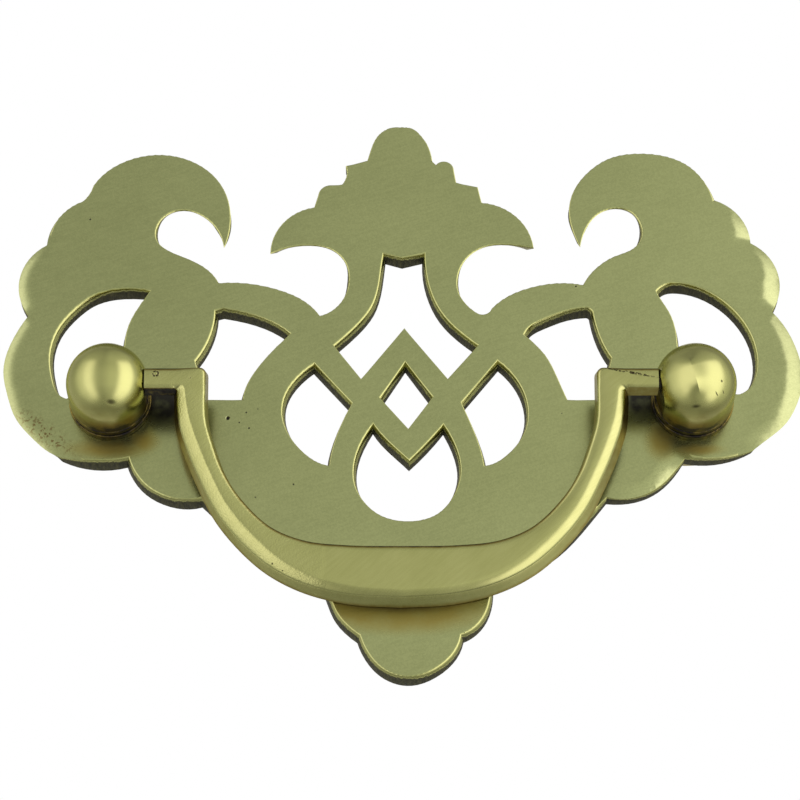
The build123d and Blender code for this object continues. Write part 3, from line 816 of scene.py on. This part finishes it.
def head_profile():
    """The domed head as (radius, height over the plate's front)."""
    foot = rounded([(3.0, HEAD_START), (HEAD_RADIUS, HEAD_START), (HEAD_RADIUS, 3.2)], 0.3, 6)
    dome = [(HEAD_RADIUS * cos(a), HEAD_CENTRE + HEAD_RADIUS * sin(a))
            for a in (radians(d) for d in np.linspace(0, 90, 48))]
    dome[-1] = (0.0, HEAD_CENTRE + HEAD_RADIUS)
    return foot + [(HEAD_RADIUS, h) for h in (4.0, 4.6, 5.2, 5.7)] + dome


def collar_profile():
    """The collar and the ring on it as (radius, height over the plate's front)."""
    ring_foot = COLLAR_HEIGHT + GROOVE_WIDTH
    ring_top = ring_foot + RING_HEIGHT
    corners = [(STUD_RADIUS, 0), (COLLAR_RADIUS, 0), (COLLAR_RADIUS, COLLAR_HEIGHT),
               (CORE_RADIUS, COLLAR_HEIGHT), (CORE_RADIUS, ring_foot), (RING_RADIUS, ring_foot),
               (RING_RADIUS, ring_top), (CORE_RADIUS, ring_top), (CORE_RADIUS, HEAD_START + 0.3)]
    return rounded(corners, 0.14, 3)


def drill(obj, x):
    """Cut the blind hole for the bail's pin into a head whose flat is at x."""
    tool = bmesh.new()
    bar(tool, x, PIN_HOLE_RADIUS, 2 * PIN_HOLE_DEPTH, 40)
    tool_obj = placed("hole", finished(tool, "hole"))
    hole = obj.modifiers.new("hole", "BOOLEAN")
    hole.operation, hole.object, hole.solver = "DIFFERENCE", tool_obj, "EXACT"
    drilled = bpy.data.meshes.new_from_object(obj.evaluated_get(bpy.context.evaluated_depsgraph_get()))
    obj.modifiers.clear()
    obj.data = drilled
    bpy.data.objects.remove(tool_obj)


def post_dirt_and_shade(side, place):
    """Soiling and painted shade on a post, from 0 to 1: soiling most in its grooves, painted shade where it
    faces down or towards the bail.
    """
    across, up = place.x / MM - side * POST_X, place.z / MM
    height = FRONT - place.y / MM
    low = -up / COLLAR_RADIUS
    inner = -side * across / COLLAR_RADIUS
    # dirt in the collar's grooves, plus painted shade where it faces down and towards the bail
    if height < HEAD_START + 0.25:
        dirt_and_shade = 0.5 if hypot(across, up) > 5.1 else 0.9
        return min(1.0, dirt_and_shade + 0.4 * max(0.0, low) + 0.3 * max(0.0, inner))
    # dirt and painted shade round the head's foot, most where it faces down and towards the bail
    near = max(0.0, 1.0 - (height - HEAD_START) / FOOT_DIRT_AND_SHADE)
    # painted shade on the head's underside
    head_underside_shade = max(0.0, min(1.0, (UNDER_PAINTED_SHADE[0] - height) / UNDER_PAINTED_SHADE[1])) * max(0.0, low)
    return min(1.0, near * (0.3 + 0.8 * max(0.0, 0.8 * low + 0.3 * inner)) + 0.3 * head_underside_shade)


def thread(bm, x):
    """A V thread along Y, drawn as one helical skin round a core with a pointed end."""
    end = BOARD + THREAD_LENGTH
    rows = int(THREAD_LENGTH / THREAD_PITCH * THREAD_STEPS)
    crest, valley = [], []
    for i in range(rows + 1):
        a = 2 * pi * i / THREAD_STEPS
        depth = BOARD + THREAD_LENGTH * i / rows
        fade = min(1.0, i / THREAD_STEPS, (rows - i) / THREAD_STEPS)
        top = THREAD_ROOT + (THREAD_RADIUS - THREAD_ROOT) * fade
        for r, shift, out in ((top, 0.0, crest), (THREAD_ROOT, 0.5 * THREAD_PITCH, valley)):
            d = min(end, depth + shift)
            out.append(bm.verts.new(((x + r * cos(a)) * MM, d * MM, r * sin(a) * MM)))
    for i in range(rows):
        bm.faces.new((crest[i], crest[i + 1], valley[i + 1], valley[i]))
        if i >= THREAD_STEPS:
            j = i - THREAD_STEPS
            bm.faces.new((valley[j], valley[j + 1], crest[i + 1], crest[i]))
    core = THREAD_ROOT - 0.02
    lathe(bm, x, [(core, BOARD), (core, end - 0.25), (THREAD_ROOT - 0.3, end)])


def post(side, material, stud_material):
    """A post: a domed head, a grooved collar and a threaded stud behind the plate."""
    x = side * POST_X
    node = SIDES[side] + "_post"

    bm = bmesh.new()
    lathe(bm, x, [(r, FRONT - h) for r, h in head_profile()])
    towards = Vector((-side, 0, 0))
    towards.rotate(Matrix.Rotation(-radians(FLAT_TURN[side]), 3, "Y"))
    at = Vector((x * MM, 0, 0)) + towards * FLAT[side] * MM
    cut = bmesh.ops.bisect_plane(bm, geom=bm.verts[:] + bm.edges[:] + bm.faces[:], plane_co=at,
                                 plane_no=towards, clear_outer=True)
    ring = [e for e in cut["geom_cut"] if isinstance(e, bmesh.types.BMEdge)]
    bmesh.ops.edgeloop_fill(bm, edges=ring)
    bmesh.ops.bevel(bm, geom=ring, offset=0.16 * MM, segments=3, affect="EDGES", profile=0.5)
    head = link(SIDES[side] + "_head", finished(bm, "head"), "mounting", node)
    drill(head, x - side * FLAT[side])

    bm = bmesh.new()
    lathe(bm, x, [(r, FRONT - h) for r, h in collar_profile()])
    collar = link(SIDES[side] + "_collar", finished(bm, "collar"), "mounting", node)
    for mesh in (head.data, collar.data):
        # dirt in the grooves, and painted shade where the post faces down or towards the bail
        mask(mesh, "dirt_and_shade", [post_dirt_and_shade(side, v.co) for v in mesh.vertices])
        shade(mesh, material, 35)

    bm = bmesh.new()
    lathe(bm, x, [(SPIGOT_RADIUS, FRONT), (SPIGOT_RADIUS, -SPIGOT_SHY), (STUD_RADIUS, -SPIGOT_SHY),
                  (STUD_RADIUS, BOARD)])
    thread(bm, x)
    stud = link(SIDES[side] + "_stud", finished(bm, "stud"), "mounting", node)
    shade(stud.data, stud_material, 28)


# The nuts
def nut(side, material):
    """A chamfered hexagon nut on the thread."""
    x = side * POST_X
    half = NUT_ACROSS / 2
    corner = NUT_ACROSS / sqrt(3)
    levels = [(NUT_BORE, 0.0), (half * 0.985, 0.0), (corner, 0.35), (corner, NUT_THICKNESS - 0.8),
              (half * 0.92, NUT_THICKNESS), (NUT_BORE, NUT_THICKNESS)]
    steps = 120
    bm = bmesh.new()
    rings = []
    for r, d in levels:
        ring = []
        for i in range(steps):
            a = 2 * pi * i / steps
            flat = half / cos(a % (pi / 3) - pi / 6)  # one flat faces down
            reach = min(r, flat)
            drop = max(0.0, corner - flat) * 0.5 if r == corner else 0.0
            depth = BOARD + (d - drop if d < NUT_THICKNESS / 2 else d + drop)
            depth = min(BOARD + NUT_THICKNESS, max(BOARD, depth))
            ring.append(bm.verts.new(((x + reach * cos(a)) * MM, depth * MM, reach * sin(a) * MM)))
        rings.append(ring)
    for low, high in zip(rings, rings[1:] + rings[:1]):
        for i in range(steps):
            j = (i + 1) % steps
            bm.faces.new((low[i], low[j], high[j], high[i]))
    mesh = finished(bm, "nut")
    shade(mesh, material, 25)
    link(SIDES[side] + "_nut_hex", mesh, "mounting", SIDES[side] + "_nut")


# The bail
STUB_BEVEL = 0.4
ARM_BEVELS = [(0.0, 0.8), (0.12, 1.15), (0.55, 1.2), (0.75, 0.85), (1.0, 0.75)]  # from the stub to the middle
BEVEL_SPREAD = 1.45  # width of the worn bevel, for each mm of the solid's
BEVEL_END = 1.12  # how far the bevel's soft end runs on, in units of that width
BACK_CORNER = 0.12  # size of the bail's corners at the back
CROWN = 0.09  # how far the crowned face falls towards its inner edge
UNDERSIDE = range(1, 6)  # the points of a section that make its outer side
UNDER_LIFT = 0.75  # how far the normals of the worn underside lean to the front


def bail_ribs():
    """The outline's two sides as pairs of points from the right stub to the middle, with the bevel."""
    ribs = [((x, -STUB_ABOVE), (x, STUB_BELOW), STUB_BEVEL) for x in np.linspace(STUB_END, ARM_OUTSIDE, 6)]
    r = STUB_CORNER
    turn = [(ARM_OUTSIDE - t * (ARM_OUTSIDE - ARM_INSIDE - r), -STUB_ABOVE) for t in np.linspace(0, 1, 7)[1:]]
    turn += [(ARM_INSIDE + r - r * sin(a), -STUB_ABOVE + r - r * cos(a))
             for a in np.linspace(0, pi / 2, 7)[1:]]
    turn += [(ARM_INSIDE, z) for z in np.linspace(-STUB_ABOVE + r, STUB_BELOW, 5)[1:]]
    for i, p in enumerate(turn):
        ribs.append((p, (ARM_OUTSIDE, STUB_BELOW), STUB_BEVEL + 0.4 * (i + 1) / len(turn)))
    count = 70
    inner = smooth_curve([(ARM_INSIDE, STUB_BELOW)] + INNER, count)
    outer = smooth_curve([(ARM_OUTSIDE, STUB_BELOW)] + OUTER, count)
    for i in range(1, count):
        bevel = np.interp(i / (count - 1), *zip(*ARM_BEVELS))
        ribs.append((tuple(inner[i]), tuple(outer[i]), float(bevel)))
    return ribs


def half_depth(drop):
    """Half of the bail's depth at so far below the pins."""
    return (STUB_DEPTH + (GRIP_DEPTH - STUB_DEPTH) * drop / BAIL_DROP) / 2


def section(width, depth, bevel, hand, stub_underside_shade, upward):
    """The bail's section as (across from the outer edge, up from the back, soiling and painted shade), in mm.

    hand is -1 where the bevel is a flat facet with a crest, as on the left arm, and 1 where it is one round
    sweep, as on the right. The fifth argument is the painted shade on the outer side under a stub, and upward
    says how far the inner side faces up, where more soiling and painted contact shade lie.
    """
    facet = 0.5 - 0.5 * hand
    lean = (SIDE_LEAN + LEAN_RISE * (bevel - LEAN_START)) * (1 - 0.3 * facet)
    inner = width - SIDE_LEAN
    # the bevel: tilt of the front in degrees, from the outer edge inwards
    tilts = [(0.0, 42 - facet), (0.5, 30 + facet), (0.75, 19 + 10 * facet), (0.92, 7 + 19 * facet),
             (1.0, 3.0), (BEVEL_END, 0.0)]
    wide = BEVEL_SPREAD * bevel
    across = np.linspace(0, BEVEL_END, 13) * wide
    slope = np.tan(np.radians(np.interp(across / wide, *zip(*tilts))))
    fall = np.concatenate([[0], np.cumsum((slope[1:] + slope[:-1]) / 2 * np.diff(across))])
    ease = min(1.0, bevel / 0.6) ** 0.5
    front = [(lean + u, depth - (fall[-1] - f) * ease, 0.0) for u, f in zip(across, fall)]
    # the outer side, from the back to the bevel
    edge = front[0]
    c = BACK_CORNER
    # dirt and painted shade on the outer side, least on the grip; under the stubs painted shade, darkest on
    # the left
    side = max(stub_underside_shade, 0.55 - 0.4 * upward)
    out = [(c, 0.0, 0.45), (0.0, c, max(0.55, stub_underside_shade))]
    out += [(edge[0] * t, c + (edge[1] - 2 * c) * t, side) for t in (0.35, 0.7, 1.0)]
    out += [(edge[0] + 0.02, edge[1] - 0.06, 0.1 + 0.5 * stub_underside_shade), (edge[0] + 0.06, edge[1], 0.4 * stub_underside_shade)]
    out += front[1:]
    # the crowned face and its rounded inner edge
    flat = front[-1][0]
    rim = 0.42 + 0.38 * upward
    last = inner - rim
    for t in (0.25, 0.5, 0.75, 1.0):
        out.append((flat + (last - flat) * t, depth - CROWN * t * t, 0.0))
    # painted contact shade on the rounded inner edge, more where it faces up towards the plate
    for degrees, dirt_and_painted_shade in ((18, 0.1), (36, 0.5), (54, 0.85), (72, 0.9), (90, 0.9)):
        a = radians(degrees)
        out.append((last + rim * sin(a), depth - CROWN - rim * (1 - cos(a)), dirt_and_painted_shade * upward))
    # the inner side and the back
    high = depth - CROWN - rim
    # dirt and painted shade on the inner side and the back
    dirt_and_painted_shade = 0.3 + 0.1 * upward
    out += [(inner + SIDE_LEAN * t, high * (1 - t), dirt_and_painted_shade + 0.2 * t) for t in (0.33, 0.66, 0.95)]
    out += [(width - c - (width - 2 * c) * t, 0.0, 0.4) for t in (0, 0.33, 0.66)]
    return out


def bail(material):
    """The cast bail: a crowned front, a soft outer bevel and a pin at the end of each stub."""
    reach = hypot(BAIL_DROP, GRIP_DEPTH / 2)
    tilt = asin((PIVOT - REST_GAP) / reach) - atan2(GRIP_DEPTH / 2, BAIL_DROP)
    down = Vector((0, sin(tilt), -cos(tilt)))
    out = Vector((0, -cos(tilt), -sin(tilt)))
    pivot = Vector((0, FRONT - PIVOT, 0))
    ribs = bail_ribs()
    ribs = ribs + [((-i[0], i[1]), (-o[0], o[1]), b) for i, o, b in reversed(ribs[:-1])]
    bm = bmesh.new()
    rows = []
    # dirt and painted shade for each point
    dirt_and_shade_values = []
    lifts = []  # how far each point's normal leans to the front
    for inner, outer, bevel in ribs:
        i2, o2 = Vector(inner), Vector(outer)
        width = (i2 - o2).length
        toward = (i2 - o2).normalized()
        half_mid = half_depth(max(0.0, (i2.y + o2.y) / 2))
        hand = max(-1.0, min(1.0, (o2.x + 4) / 10))
        # painted shade on a stub's underside, dark on the left stub
        stub_underside_shade = 0.0
        if o2.y <= STUB_BELOW:
            stub_underside_shade = 1.0 if o2.x < 0 else 0.45
        upward = max(0.0, -toward.y)
        row = []
        for place, (u, v, dirt_and_painted_shade) in enumerate(section(width, half_mid * 2, bevel, hand, stub_underside_shade, upward)):
            p = o2 + toward * u
            half = half_depth(p.y)
            level = v / (2 * half_mid) * 2 * half - half
            row.append(bm.verts.new((pivot + Vector((p.x, 0, 0)) + down * p.y + out * level) * MM))
            dirt_and_shade_values.append(dirt_and_painted_shade)
            lifts.append(UNDER_LIFT * upward if place in UNDERSIDE else 0.0)
        rows.append(row)
    count = len(rows[0])
    for a, b in zip(rows, rows[1:]):
        for i in range(count):
            j = (i + 1) % count
            bm.faces.new((a[i], a[j], b[j], b[i]))
    bm.faces.new(rows[0])
    bm.faces.new(list(reversed(rows[-1])))
    start, end = PIN_ENDS
    for side in SIDES:
        bar(bm, side * (start + end) / 2, PIN_RADIUS, end - start, 48)
    mesh = finished(bm, "bail_cast")
    extra = len(mesh.vertices) - len(dirt_and_shade_values)
    # the pins take full dirt and painted shade
    mask(mesh, "dirt_and_shade", dirt_and_shade_values + [1.0] * extra)
    mask(mesh, "cast", [float(v.co.x < -0.01) for v in mesh.vertices])
    shade(mesh, material, 50)
    lifts += [0.0] * extra
    normals = [c.vector + out * lifts[l.vertex_index] for c, l in zip(mesh.corner_normals, mesh.loops)]
    mesh.normals_split_custom_set([tuple(n.normalized()) for n in normals])
    link("bail_cast", mesh, "bail", "bail")


plate()
POST_POLISH = polished("post_brass", POST_MARKS, 0.19, False)
TURNED = turned_material()
for s in SIDES:
    post(s, POST_POLISH, TURNED)
    nut(s, TURNED)
bail(polished("bail_brass", BAIL_MARKS, 0.2, True))

# The studio. What metal mirrors: levels against azimuth in degrees, the soft boxes, and both against height
ROUND = [(-180, 1.0), (-135, 0.8), (-103, 0.68), (-86, 0.9), (-60, 0.95), (-25, 0.9), (-13, 0.78), (0, 0.95),
         (13, 1.16), (40, 1.12), (88, 1.12), (100, 1.05), (119, 0.55), (150, 0.75), (180, 1.0)]
BOXES = [(-180, 0.0), (-98, 0.0), (-70, 0.5), (-54, 1.2), (-45, 1.2), (-25, 0.0), (30, 0.0), (48, 1.7),
         (76, 1.7), (88, 0.0), (180, 0.0)]
BOX_HEIGHT = [(-90, 0.0), (-68, 0.0), (-46, 1.0), (38, 1.0), (54, 0.0), (90, 0.0)]
HEIGHT = [(-90, 0.45), (-62, 0.62), (-40, 0.78), (-22, 0.97), (12, 0.97), (22, 0.89), (36, 0.78), (55, 0.76),
          (74, 0.6), (90, 0.4)]
BOX_TINT = (1.0, 0.95, 1.06)
WHITE = (1, 1, 1)
DIFFUSE = (0.8, 0.8, 0.8)  # what matt surfaces get from the world
FLOOR = (0.86, 0.86, 0.85, 1)
FLOOR_LEVEL = -0.24  # metres


def area(name, place, width, height, radiance):
    """A soft panel that lights the object; what metal mirrors is in the world. radiance is its brightness."""
    lamp = bpy.data.lights.new(name, "AREA")
    lamp.shape, lamp.size, lamp.size_y = "RECTANGLE", width, height
    lamp.energy = radiance * pi * width * height
    obj = placed(name, lamp)
    obj.location = place
    obj.rotation_euler = (-Vector(place)).to_track_quat("-Z", "Y").to_euler()
    obj.visible_glossy = False


def round_object(azimuth, elevation, distance):
    """A place round the object: azimuth from straight in front, positive to the right."""
    a, e = radians(azimuth), radians(elevation)
    return (distance * sin(a) * cos(e), -distance * cos(a) * cos(e),
            distance * sin(e))


def surroundings():
    """The world: the studio that metal mirrors, a plain light for what is matt, and white for the camera."""
    world = bpy.data.worlds.new("studio")
    world.use_nodes = True
    bpy.context.scene.world = world
    g = Nodes(world.node_tree)
    g.tree.nodes.clear()
    path = g.node("ShaderNodeLightPath")
    way = g.node("ShaderNodeSeparateXYZ", g.node("ShaderNodeTexCoord").outputs["Generated"])
    toward = g.times(way.outputs[1], -1.0)
    azimuth = g.times(g.math("ARCTAN2", way.outputs[0], toward), 180 / pi)
    elevation = g.times(g.math("ARCSINE", way.outputs[2]), 180 / pi)
    boxes = g.times(g.curve(azimuth, BOXES), g.curve(elevation, BOX_HEIGHT))
    base = g.times(g.curve(azimuth, ROUND), g.curve(elevation, HEIGHT))
    seen = g.node("ShaderNodeVectorMath", g.mix(boxes, WHITE, BOX_TINT), operation="SCALE")
    g.put(seen.inputs["Scale"], g.math("ADD", base, boxes))
    mirrored = g.math("MAXIMUM", path.outputs["Is Glossy Ray"], path.outputs["Is Transmission Ray"])
    light = g.mix(mirrored, DIFFUSE, seen)
    light = g.mix(path.outputs["Is Camera Ray"], light, WHITE)
    g.node("ShaderNodeOutputWorld", g.node("ShaderNodeBackground", light))


def ground():
    """A matt floor far below, which metal doesn't mirror."""
    bpy.ops.mesh.primitive_plane_add(size=6, location=(0, 0, FLOOR_LEVEL))
    floor = bpy.context.object
    floor.name = "floor"
    paint = bpy.data.materials.new("floor")
    paint.use_nodes = True
    shader = paint.node_tree.nodes["Principled BSDF"]
    shader.inputs["Base Color"].default_value = FLOOR
    shader.inputs["Roughness"].default_value = 0.9
    shader.inputs["Specular IOR Level"].default_value = 0.1
    floor.data.materials.append(paint)
    floor.visible_glossy = False


area("right_panel", round_object(55, 10, 0.7), 0.36, 0.8, 1.6)
area("left_panel", round_object(-60, 10, 0.7), 0.36, 0.7, 1.0)
area("front_panel", round_object(5, 50, 0.7), 0.5, 0.5, 1.0)
surroundings()
ground()

# The camera
LOOK_UP = radians(23.0)
DISTANCE = 450  # mm, from the eye to the plate
SCALE = 7.63  # pixels of the photo to the mm at the plate
HALF_PHOTO = 400  # pixels
look = Vector((0, cos(LOOK_UP), sin(LOOK_UP)))
target = Vector((-0.18, FRONT, 0.28)) * MM
camera = bpy.data.cameras.new("camera")
camera.angle = 2 * atan(HALF_PHOTO / (SCALE * DISTANCE))
camera.clip_start, camera.clip_end = 0.02, 20
eye = placed("camera", camera)
eye.location = target - look * (DISTANCE * MM)
eye.rotation_euler = look.to_track_quat("-Z", "Y").to_euler()
bpy.context.scene.camera = eye

bpy.context.scene.view_settings.view_transform = "Standard"
